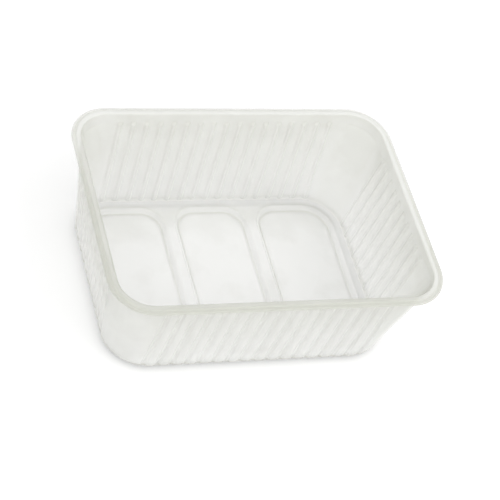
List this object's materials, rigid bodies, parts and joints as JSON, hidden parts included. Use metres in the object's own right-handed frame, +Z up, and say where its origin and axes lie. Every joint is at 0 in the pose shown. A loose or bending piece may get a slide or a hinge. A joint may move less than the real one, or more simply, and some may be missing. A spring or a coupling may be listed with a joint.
{
  "type": "plastic food tub",
  "caption": "Thermoformed clear plastic food tub: a drafted rectangular box with fluted walls, round corners, a flanged sealing rim and a base pressed into panels",
  "frame": {"origin": "centre of the footprint on the table, at the height of the base panels' underside", "axes": "+X along the long side of the rim, +Y towards the back long side, +Z up out of the open mouth"},
  "size_m": [0.187, 0.14, 0.067],
  "materials": {
    "tub": "milky clear natural polypropylene, soft satin gloss"
  },
  "bodies": {
    "root": {"tub": "tub"}
  },
  "joints": []
}
